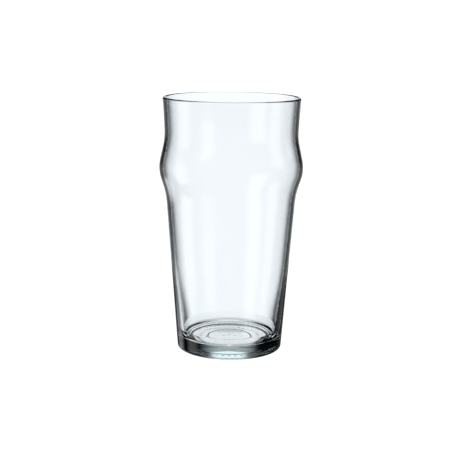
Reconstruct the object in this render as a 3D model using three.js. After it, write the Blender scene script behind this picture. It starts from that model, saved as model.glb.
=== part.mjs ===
// Nonic pint glass: one piece of clear soda-lime glass, pressed and blown.
// It tapers up from a thick foot to a bulge below the mouth, narrows to a neck and flares to the rim.
// Millimetres, +Z up. The origin is at the middle of the foot, on the surface that the glass stands on.

import * as THREE from "three";

// Driving dimensions. A corner is [radius, height, round]: where two straight stretches of the
// outline would meet, and the radius of the arc that takes the corner off.
const HEIGHT = 152;
const RIM_RADIUS = 40.95;
const LIP = [40.25, 141.7, 120];
const NECK = [39.6, 128, 35];
const BULGE = [43.65, 109.1, 22];
const TAPER_TOP = [38.8, 94.9, 46];
const FOOT_RADIUS = 31.4;
const HEEL_ROUND = 2.4;

// Thickness of the glass, measured level
const RIM_WALL = 1.9;
const BOWL_WALL = 2;
const LOWER_WALL = 2.1;
const LOWER_WALL_Z = 45; // below this height the wall thickens towards the floor
const LOWER_WALL_ROUND = 450;
const FLANK_WALL = 3.8;
const FLANK_TOP_Z = 13; // the wall is this thick here, and below it the inside turns in to the floor
const FLANK_ROUND = 4;

// Inside floor, and the shallow domed hollow under the foot
const FLOOR_RADIUS = 26.6;
const FLOOR_Z = 7.7;
const FLOOR_ROUND = 3.2;
const PUNT_DEPTH = 0.8;
const PUNT_DOME = 0.7;
const PUNT_RADIUS = 23.2;
const PUNT_ROUND = 0.6;
const BEARING_INNER_RADIUS = 25.6; // inner edge of the flat ring that the glass stands on

// Fineness of the faceted solid
const SEGMENTS_ROUND = 64;
const ARC_STEP = THREE.MathUtils.degToRad(10);
const TIGHT_ARC_STEP = THREE.MathUtils.degToRad(24);
const TIGHT_ROUND = 3; // arcs up to this radius take the coarser step
const RIM_FLAT = 0.04; // left between the two rounds of the rim, so that no point is doubled

const GLASS_COLOUR = 0xe9f1f0;

// The arc of one corner as points, on a path that comes from `before` and goes on to `after`
function arcPoints(before, corner, after, round) {
  const back = before.clone().sub(corner).normalize();
  const ahead = after.clone().sub(corner).normalize();
  const halfAngle = Math.acos(back.dot(ahead)) / 2;
  const bisector = back.clone().add(ahead).normalize();
  const centre = corner.clone().addScaledVector(bisector, round / Math.sin(halfAngle));
  const spoke = corner.clone().addScaledVector(back, round / Math.tan(halfAngle)).sub(centre);
  const turn = -Math.sign(back.cross(ahead)) * (Math.PI - 2 * halfAngle);
  const step = round > TIGHT_ROUND ? ARC_STEP : TIGHT_ARC_STEP;
  const steps = Math.max(2, Math.ceil(Math.abs(turn) / step));
  return Array.from({ length: steps + 1 }, (_, i) =>
    spoke.clone().rotateAround(new THREE.Vector2(), (turn * i) / steps).add(centre),
  );
}

// The outline through a list of corners. A corner with no round stays sharp.
function roundedOutline(corners) {
  const places = corners.map(([radius, height]) => new THREE.Vector2(radius, height));
  return corners.flatMap(([, , round], i) =>
    round ? arcPoints(places[i - 1], places[i], places[i + 1], round) : [places[i]],
  );
}

// Radius of the straight lower side at a height
function sideRadius(height) {
  return THREE.MathUtils.mapLinear(height, 0, TAPER_TOP[1], FOOT_RADIUS, TAPER_TOP[0]);
}

// A corner of the side moved in to the inner surface. Inside, an outward bulge is tighter by the
// thickness of the wall, and a hollow is wider by it.
function insideOf([radius, height, round], isBulge) {
  return [radius - BOWL_WALL, height, isBulge ? round - BOWL_WALL : round + BOWL_WALL];
}

// The whole wall, from the middle of the underside out, up the side, over the rim and down inside
function glassOutline() {
  const rimRound = (RIM_WALL - RIM_FLAT) / 2;
  const underside = [
    [0, PUNT_DEPTH + PUNT_DOME],
    [PUNT_RADIUS, PUNT_DEPTH, PUNT_ROUND],
    [BEARING_INNER_RADIUS, 0],
  ];
  const outside = [
    [FOOT_RADIUS, 0, HEEL_ROUND],
    TAPER_TOP,
    BULGE,
    NECK,
    LIP,
    [RIM_RADIUS, HEIGHT, rimRound],
  ];
  const inside = [
    [RIM_RADIUS - RIM_WALL, HEIGHT, rimRound],
    insideOf(LIP, false),
    insideOf(NECK, false),
    insideOf(BULGE, true),
    insideOf(TAPER_TOP, false),
    [sideRadius(LOWER_WALL_Z) - LOWER_WALL, LOWER_WALL_Z, LOWER_WALL_ROUND],
    [sideRadius(FLANK_TOP_Z) - FLANK_WALL, FLANK_TOP_Z, FLANK_ROUND],
    [FLOOR_RADIUS, FLOOR_Z, FLOOR_ROUND],
    [0, FLOOR_Z],
  ];
  return roundedOutline([...underside, ...outside, ...inside]);
}

function makeGlass() {
  const geometry = new THREE.LatheGeometry(glassOutline(), SEGMENTS_ROUND);
  geometry.rotateX(Math.PI / 2);
  const material = new THREE.MeshStandardMaterial({
    color: GLASS_COLOUR,
    roughness: 0.03,
    metalness: 0,
    transparent: true,
    opacity: 0.3,
  });
  const mesh = new THREE.Mesh(geometry, material);
  mesh.name = "glass_body";
  return mesh;
}

const pintGlass = new THREE.Group();
pintGlass.name = "pint_glass";
pintGlass.add(makeGlass());

export default pintGlass;
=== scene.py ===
"""Pint glass, nonic shape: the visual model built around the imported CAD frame, with its studio.

Metres, +Z up, the glass's axis on Z and its foot on z = 0.
"""
import math

import bmesh
import bpy
from mathutils import Matrix, Vector


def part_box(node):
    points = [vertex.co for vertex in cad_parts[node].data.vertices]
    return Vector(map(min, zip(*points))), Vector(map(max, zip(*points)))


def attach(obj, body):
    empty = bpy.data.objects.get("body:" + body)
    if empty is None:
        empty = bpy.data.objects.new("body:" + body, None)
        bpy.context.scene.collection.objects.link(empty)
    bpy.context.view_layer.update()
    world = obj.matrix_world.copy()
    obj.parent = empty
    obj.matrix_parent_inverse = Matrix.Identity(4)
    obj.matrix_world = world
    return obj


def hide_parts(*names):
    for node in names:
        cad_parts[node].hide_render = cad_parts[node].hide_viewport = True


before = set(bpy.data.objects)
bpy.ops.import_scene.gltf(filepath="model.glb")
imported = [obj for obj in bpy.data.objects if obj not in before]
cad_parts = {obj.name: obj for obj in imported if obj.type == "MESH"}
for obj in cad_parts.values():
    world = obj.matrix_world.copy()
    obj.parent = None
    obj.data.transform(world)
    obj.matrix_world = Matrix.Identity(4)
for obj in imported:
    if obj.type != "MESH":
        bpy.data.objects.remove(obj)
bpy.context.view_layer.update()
low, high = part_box("glass_body")

HEIGHT = high.z - low.z
WIDEST = high.x - low.x
MM = 0.001

# ---------------------------------------------------------------- outline

# Corners of the outline as (radius, height, round): where two straight stretches would meet, and
# the radius of the arc that takes the corner off. Heights are from the foot.
RIM_RADIUS = 0.478 * WIDEST
FOOT_RADIUS = 0.3666 * WIDEST
LIP = (0.4699 * WIDEST, 0.9322 * HEIGHT, 120 * MM)
NECK = (0.4624 * WIDEST, 0.8421 * HEIGHT, 35 * MM)
BULGE = (0.50965 * WIDEST, 0.7178 * HEIGHT, 22 * MM)
TAPER_TOP = (0.453 * WIDEST, 0.6243 * HEIGHT, 46 * MM)
HEEL_ROUND = 2.4 * MM

# Thickness of the glass, measured level
RIM_WALL = 1.9 * MM
RIM_FLAT = 0.04 * MM  # left between the two rounds of the rim
BOWL_WALL = 2.0 * MM
LOWER_WALL = 2.1 * MM
LOWER_WALL_Z = 45 * MM  # below this height the wall thickens towards the floor
LOWER_WALL_ROUND = 450 * MM
FLANK_WALL = 3.8 * MM
FLANK_TOP_Z = 13 * MM  # below this height the inside turns in to the floor
FLANK_ROUND = 4 * MM

# The flat floor inside
FLOOR_RADIUS = 26.6 * MM
FLOOR_Z = 7.7 * MM
FLOOR_ROUND = 3.2 * MM

# The shallow domed hollow under the foot, inside the ring that the glass stands on
PUNT_RADIUS = 23.2 * MM
PUNT_DEPTH = 0.8 * MM
PUNT_DOME = 0.7 * MM
PUNT_ROUND = 0.6 * MM
BEARING_INNER_RADIUS = 25.6 * MM
BEARING_ROUND = 0.4 * MM

# Fineness of the mesh. The underside is finer, for the marks in it.
ROUND_STEPS = 384
ARC_STEP = math.radians(2.5)
FEWEST_ARC_STEPS = 4
LONGEST_EDGE = 2.5 * MM
UNDERSIDE_EDGE = 0.4 * MM
UNDERSIDE_TOP = PUNT_DEPTH + PUNT_DOME + 0.1 * MM  # just clear of the top of the hollow


def arc_points(before, corner, after, radius):
    """The arc that takes one corner off, as points."""
    back = (before - corner).normalized()
    ahead = (after - corner).normalized()
    half_angle = math.acos(back.dot(ahead)) / 2
    centre = corner + (back + ahead).normalized() * (radius / math.sin(half_angle))
    spoke = corner + back * (radius / math.tan(half_angle)) - centre
    cross = back.x * ahead.y - back.y * ahead.x
    turn = -math.copysign(math.pi - 2 * half_angle, cross)
    steps = max(FEWEST_ARC_STEPS, math.ceil(abs(turn) / ARC_STEP))
    return [centre + Matrix.Rotation(turn * i / steps, 2) @ spoke for i in range(steps + 1)]


def divided(points):
    """The same path with its long edges divided."""
    path = [points[0]]
    for start, end in zip(points, points[1:]):
        longest = UNDERSIDE_EDGE if end.y < UNDERSIDE_TOP else LONGEST_EDGE
        pieces = max(1, math.ceil((end - start).length / longest))
        path += [start.lerp(end, k / pieces) for k in range(1, pieces + 1)]
    return path


def rounded_outline(corners):
    """The outline through a list of corners. A corner with no round stays sharp."""
    places = [Vector(corner[:2]) for corner in corners]
    points = []
    for i, (place, corner) in enumerate(zip(places, corners)):
        is_round = len(corner) == 3
        points += arc_points(places[i - 1], place, places[i + 1], corner[2]) if is_round else [place]
    return divided(points)


def side_radius(height):
    """Radius of the straight lower side at a height."""
    return FOOT_RADIUS + (TAPER_TOP[0] - FOOT_RADIUS) * height / TAPER_TOP[1]


def inside_of(corner, is_bulge):
    """A corner of the side moved in to the inner surface.

    Inside, an outward bulge is tighter by the thickness of the wall, and a hollow is wider by it.
    """
    radius, height, corner_round = corner
    change = -BOWL_WALL if is_bulge else BOWL_WALL
    return radius - BOWL_WALL, height, corner_round + change


def glass_outline():
    """The whole wall, from the middle of the underside out, up, over the rim and down inside."""
    rim_round = (RIM_WALL - RIM_FLAT) / 2
    underside = [
        (0, PUNT_DEPTH + PUNT_DOME),
        (PUNT_RADIUS, PUNT_DEPTH, PUNT_ROUND),
        (BEARING_INNER_RADIUS, 0, BEARING_ROUND),
    ]
    outside = [
        (FOOT_RADIUS, 0, HEEL_ROUND),
        TAPER_TOP,
        BULGE,
        NECK,
        LIP,
        (RIM_RADIUS, HEIGHT, rim_round),
    ]
    inside = [
        (RIM_RADIUS - RIM_WALL, HEIGHT, rim_round),
        inside_of(LIP, False),
        inside_of(NECK, False),
        inside_of(BULGE, True),
        inside_of(TAPER_TOP, False),
        (side_radius(LOWER_WALL_Z) - LOWER_WALL, LOWER_WALL_Z, LOWER_WALL_ROUND),
        (side_radius(FLANK_TOP_Z) - FLANK_WALL, FLANK_TOP_Z, FLANK_ROUND),
        (FLOOR_RADIUS, FLOOR_Z, FLOOR_ROUND),
        (0, FLOOR_Z),
    ]
    return rounded_outline(underside + outside + inside)


def revolve(name, outline):
    """A closed body of revolution about Z. The outline starts and ends on the axis."""
    mesh = bmesh.new()
    first = mesh.verts.new((0, 0, outline[0].y))
    last = mesh.verts.new((0, 0, outline[-1].y))
    rings = []
    for point in outline[1:-1]:
        ring = []
        for i in range(ROUND_STEPS):
            angle = 2 * math.pi * i / ROUND_STEPS
            x = point.x * math.cos(angle)
            y = point.x * math.sin(angle)
            ring.append(mesh.verts.new((x, y, point.y)))
        rings.append(ring)
    for i in range(ROUND_STEPS):
        j = (i + 1) % ROUND_STEPS
        mesh.faces.new((first, rings[0][j], rings[0][i]))
        for inner, outer in zip(rings, rings[1:]):
            mesh.faces.new((inner[i], inner[j], outer[j], outer[i]))
        mesh.faces.new((last, rings[-1][i], rings[-1][j]))
    for face in mesh.faces:
        face.smooth = True
    data = bpy.data.meshes.new(name)
    mesh.to_mesh(data)
    mesh.free()
    piece = bpy.data.objects.new(name, data)
    bpy.context.scene.collection.objects.link(piece)
    return piece


# ---------------------------------------------------------------- marks under the foot

# Stipple on the ring that the glass stands on
STIPPLE_DEPTH = 0.16 * MM
STIPPLE_PITCH = 1.5 * MM

# A fine raised ring, a ring of raised dots outside it, and a row of dots in the middle
RAISED_HEIGHT = 0.25 * MM
RAISED_HALF_WIDTH = 0.5 * MM
RAISED_RING_RADIUS = 13.7 * MM
DOT_SHARE = 0.5  # height of a dot, as a share of the raised ring's
DOT_RING_RADIUS = 18 * MM
DOTS_AROUND = 36
MIDDLE_DOTS = (-3.5 * MM, 0, 3.5 * MM)


def stipple(x, y):
    """How deep the stipple dents the standing ring at a point. It dies away at the ring's edges."""
    inner = BEARING_INNER_RADIUS
    outer = FOOT_RADIUS - HEEL_ROUND
    in_from_edge = math.hypot(x, y) - inner
    fade = math.sin(math.pi * in_from_edge / (outer - inner))
    around = math.atan2(y, x) * (inner + outer) / 2
    wave = 2 * math.pi / STIPPLE_PITCH
    return STIPPLE_DEPTH * fade * (1 - math.cos(around * wave) * math.cos(in_from_edge * wave)) / 2


def bell(distance):
    """Height of a raised line or dot, as a share, at a distance from its middle."""
    return math.exp(-((distance / RAISED_HALF_WIDTH) ** 2))


def raised_marks(x, y):
    """How far the raised ring and the dots stand out of the hollow at a point."""
    step = 2 * math.pi / DOTS_AROUND
    turn = round(math.atan2(y, x) / step) * step
    nearest = math.hypot(x - DOT_RING_RADIUS * math.cos(turn), y - DOT_RING_RADIUS * math.sin(turn))
    nearest = min([nearest] + [math.hypot(x - middle, y) for middle in MIDDLE_DOTS])
    ring = bell(math.hypot(x, y) - RAISED_RING_RADIUS)
    return RAISED_HEIGHT * max(ring, DOT_SHARE * bell(nearest))


def mark_foot(piece):
    """Press the mould's marks into the underside: up for a dent, down for a raised mark."""
    for vertex in piece.data.vertices:
        x, y, z = vertex.co
        radius = math.hypot(x, y)
        if z >= UNDERSIDE_TOP or radius >= FOOT_RADIUS - HEEL_ROUND:
            continue
        if radius > BEARING_INNER_RADIUS:
            vertex.co.z += stipple(x, y)
        else:
            vertex.co.z -= raised_marks(x, y)
    piece.data.update()


# ---------------------------------------------------------------- material

# Clear glass, grey-green only where it is looked through for a long way, as at the foot
GLASS_IOR = 1.52
GLASS_TINT = (0.70, 0.88, 0.88, 1)
GLASS_DENSITY = 14

# Faint waves that the pressing and blowing leave, drawn out along the height
WAVE_SIZE = 14 * MM
WAVE_STRETCH = 3
WAVE_DEPTH = 0.006 * MM

# Faint smears from wiping
SMEAR_SIZE = 5 * MM
SMEAR_STRETCH = 4
SMEAR_START = 0.5
SMEAR_ROUGHNESS = 0.006

NOISE_DETAIL = 1


def stretched_noise(tree, place, size, stretch):
    """Soft noise with patches of one size round the glass, longer by the stretch up the glass."""
    mapping = tree.nodes.new("ShaderNodeMapping")
    mapping.inputs["Scale"].default_value = (1 / size, 1 / size, 1 / (size * stretch))
    tree.links.new(place, mapping.inputs["Vector"])
    noise = tree.nodes.new("ShaderNodeTexNoise")
    noise.inputs["Scale"].default_value = 1
    noise.inputs["Detail"].default_value = NOISE_DETAIL
    tree.links.new(mapping.outputs["Vector"], noise.inputs["Vector"])
    return noise.outputs["Fac"]


def add_waves(tree, place, shader):
    """Very low waves in the surface."""
    bump = tree.nodes.new("ShaderNodeBump")
    bump.inputs["Strength"].default_value = 1
    bump.inputs["Distance"].default_value = WAVE_DEPTH
    waves = stretched_noise(tree, place, WAVE_SIZE, WAVE_STRETCH)
    tree.links.new(waves, bump.inputs["Height"])
    tree.links.new(bump.outputs["Normal"], shader.inputs["Normal"])


def add_smears(tree, place, shader):
    """Patches that are very slightly less polished than the rest."""
    dulling = tree.nodes.new("ShaderNodeMapRange")
    dulling.inputs["From Min"].default_value = SMEAR_START
    dulling.inputs["From Max"].default_value = 1
    dulling.inputs["To Max"].default_value = SMEAR_ROUGHNESS
    smears = stretched_noise(tree, place, SMEAR_SIZE, SMEAR_STRETCH)
    tree.links.new(smears, dulling.inputs["Value"])
    tree.links.new(dulling.outputs["Result"], shader.inputs["Roughness"])


def glass_material():
    """Clear glass with faint waves and smears."""
    material = bpy.data.materials.new("clear_soda_lime_glass")
    material.use_nodes = True
    tree = material.node_tree
    shader = tree.nodes["Principled BSDF"]
    shader.inputs["Base Color"].default_value = (1, 1, 1, 1)
    shader.inputs["IOR"].default_value = GLASS_IOR
    shader.inputs["Transmission Weight"].default_value = 1
    place = tree.nodes.new("ShaderNodeTexCoord").outputs["Object"]
    add_waves(tree, place, shader)
    add_smears(tree, place, shader)
    volume = tree.nodes.new("ShaderNodeVolumeAbsorption")
    volume.inputs["Color"].default_value = GLASS_TINT
    volume.inputs["Density"].default_value = GLASS_DENSITY
    tree.links.new(volume.outputs["Volume"], tree.nodes["Material Output"].inputs["Volume"])
    return material


# ---------------------------------------------------------------- camera and floor

CAMERA_PLACE = (-3.31 * MM, -708.9 * MM, 208.2 * MM)
CAMERA_PITCH = math.radians(10.63)  # how far it looks down
CAMERA_ROLL = math.radians(0.62)
SENSOR_WIDTH = 36  # both of these are in millimetres, as Blender has them
LENS = 96.07
NEAREST_SEEN = 0.01
FARTHEST_SEEN = 50

FLOOR_HALF_SIDE = 3
FLOOR_CELLS = 8
FLOOR_GAP = 0.2 * MM
FLOOR_COLOUR = (0.9, 0.9, 0.9, 1)
FLOOR_ROUGHNESS = 0.8
FLOOR_GLOW = 1.1


def make_camera():
    """The camera, at the photograph's viewing angle."""
    data = bpy.data.cameras.new("camera")
    data.sensor_width = SENSOR_WIDTH
    data.lens = LENS
    data.clip_start = NEAREST_SEEN
    data.clip_end = FARTHEST_SEEN
    camera = bpy.data.objects.new("camera", data)
    bpy.context.scene.collection.objects.link(camera)
    camera.location = CAMERA_PLACE
    look = Matrix.Rotation(math.pi / 2 - CAMERA_PITCH, 4, "X")
    camera.rotation_mode = "QUATERNION"
    camera.rotation_quaternion = (look @ Matrix.Rotation(CAMERA_ROLL, 4, "Z")).to_quaternion()
    bpy.context.scene.camera = camera


def floor_material():
    """Plain white that glows a little, so that the floor is as pale as the backdrop."""
    material = bpy.data.materials.new("pale_floor")
    material.use_nodes = True
    shader = material.node_tree.nodes["Principled BSDF"]
    shader.inputs["Base Color"].default_value = FLOOR_COLOUR
    shader.inputs["Roughness"].default_value = FLOOR_ROUGHNESS
    shader.inputs["Emission Color"].default_value = (1, 1, 1, 1)
    shader.inputs["Emission Strength"].default_value = FLOOR_GLOW
    return material


def make_floor():
    """A pale floor that only the camera sees, so that the glass is lit by the panels alone."""
    mesh = bmesh.new()
    bmesh.ops.create_grid(mesh, x_segments=FLOOR_CELLS, y_segments=FLOOR_CELLS, size=FLOOR_HALF_SIDE)
    data = bpy.data.meshes.new("studio_floor")
    mesh.to_mesh(data)
    mesh.free()
    data.materials.append(floor_material())
    floor = bpy.data.objects.new("studio_floor", data)
    floor.location.z = -FLOOR_GAP
    for kind in ("transmission", "glossy", "diffuse", "shadow", "volume_scatter"):
        setattr(floor, "visible_" + kind, False)
    bpy.context.scene.collection.objects.link(floor)


# ---------------------------------------------------------------- light

# Pale panels of the light tent, in degrees, as directions from the glass: (azimuth, half width,
# lowest, highest, softness across, softness up, brightness). The azimuth is 0 along +Y and grows
# towards +X. Softness is the width of a panel's soft edge.
PANELS = [
    # Behind the glass as the camera sees it: two that overlap, one above them and a wide faint one
    (0.5, 12.5, -36, 6, 9, 12, 0.3),
    (0.5, 12.5, -120, 6, 9, 12, 0.7),
    (0.5, 16, 6, 26, 20, 12, 0.45),
    (0.5, 34, -26, -4, 40, 8, 0.12),
    # Behind the glass as it is seen from above on one side, from the side, and from behind
    (-45, 12, -56, -17, 14, 8, 0.95),
    (-90, 13, -30, 9, 16, 8, 0.95),
    (135, 13, -60, -2, 16, 8, 0.85),
    # All round, under the glass
    (0, 200, -120, -56, 1, 12, 0.5),
]
DARK_LEVEL = 0.003  # brightness of the tent outside the panels
TENT_COLOUR = (0.96, 1.0, 1.04, 1)
BACKDROP_BRIGHTNESS = 1.2


class Calculator:
    """Adds a node tree's arithmetic one operation at a time."""

    def __init__(self, tree):
        self.tree = tree

    def feed(self, socket, value):
        """Join a socket to another node's output, or set it to a number."""
        if isinstance(value, bpy.types.NodeSocket):
            self.tree.links.new(value, socket)
        else:
            socket.default_value = value

    def work_out(self, operation, *values):
        """The result of one Math node."""
        node = self.tree.nodes.new("ShaderNodeMath")
        node.operation = operation
        for socket, value in zip(node.inputs, values):
            self.feed(socket, value)
        return node.outputs["Value"]

    def inside(self, distance, edge, softness):
        """1 inside an edge, 0 outside it, and a smooth ramp between. Edge and softness in degrees."""
        node = self.tree.nodes.new("ShaderNodeMapRange")
        node.interpolation_type = "SMOOTHSTEP"
        self.feed(node.inputs["Value"], distance)
        node.inputs["From Min"].default_value = math.radians(edge - softness / 2)
        node.inputs["From Max"].default_value = math.radians(edge + softness / 2)
        node.inputs["To Min"].default_value = 1
        node.inputs["To Max"].default_value = 0
        return node.outputs["Result"]


def panel_light(calculator, azimuth, elevation, panel):
    """The light of one panel, from the direction that is looked in."""
    middle, half_width, lowest, highest, soft_across, soft_up, brightness = panel
    aside = calculator.work_out("SUBTRACT", azimuth, math.radians(middle))
    aside = calculator.work_out("ABSOLUTE", calculator.work_out("WRAP", aside, math.pi, -math.pi))
    above = calculator.work_out("SUBTRACT", elevation, math.radians((lowest + highest) / 2))
    above = calculator.work_out("ABSOLUTE", above)
    across = calculator.inside(aside, half_width, soft_across)
    up = calculator.inside(above, (highest - lowest) / 2, soft_up)
    return calculator.work_out("MULTIPLY", calculator.work_out("MULTIPLY", across, up), brightness)


def tent_light(tree):
    """The light of all the panels, from the direction that is looked in."""
    calculator = Calculator(tree)
    direction = tree.nodes.new("ShaderNodeTexCoord").outputs["Generated"]
    split = tree.nodes.new("ShaderNodeSeparateXYZ")
    tree.links.new(direction, split.inputs["Vector"])
    azimuth = calculator.work_out("ARCTAN2", split.outputs["X"], split.outputs["Y"])
    elevation = calculator.work_out("ARCSINE", split.outputs["Z"])
    total = DARK_LEVEL
    for panel in PANELS:
        total = calculator.work_out("ADD", total, panel_light(calculator, azimuth, elevation, panel))
    return total


def make_world():
    """The light tent, and the plain white backdrop that the camera sees in its place."""
    world = bpy.data.worlds.new("studio")
    world.use_nodes = True
    tree = world.node_tree
    tent = tree.nodes["Background"]
    tent.inputs["Color"].default_value = TENT_COLOUR
    tree.links.new(tent_light(tree), tent.inputs["Strength"])
    backdrop = tree.nodes.new("ShaderNodeBackground")
    backdrop.inputs["Color"].default_value = (1, 1, 1, 1)
    backdrop.inputs["Strength"].default_value = BACKDROP_BRIGHTNESS
    mix = tree.nodes.new("ShaderNodeMixShader")
    straight = tree.nodes.new("ShaderNodeLightPath").outputs["Is Camera Ray"]
    tree.links.new(straight, mix.inputs["Fac"])
    tree.links.new(tent.outputs["Background"], mix.inputs[1])
    tree.links.new(backdrop.outputs["Background"], mix.inputs[2])
    tree.links.new(mix.outputs["Shader"], tree.nodes["World Output"].inputs["Surface"])
    bpy.context.scene.world = world


# ---------------------------------------------------------------- scene

bpy.context.scene.view_settings.view_transform = "Standard"

make_camera()
make_floor()
glass = revolve("pint_glass", glass_outline())
mark_foot(glass)
glass.data.materials.append(glass_material())
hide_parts("glass_body")
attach(glass, "root")
make_world()
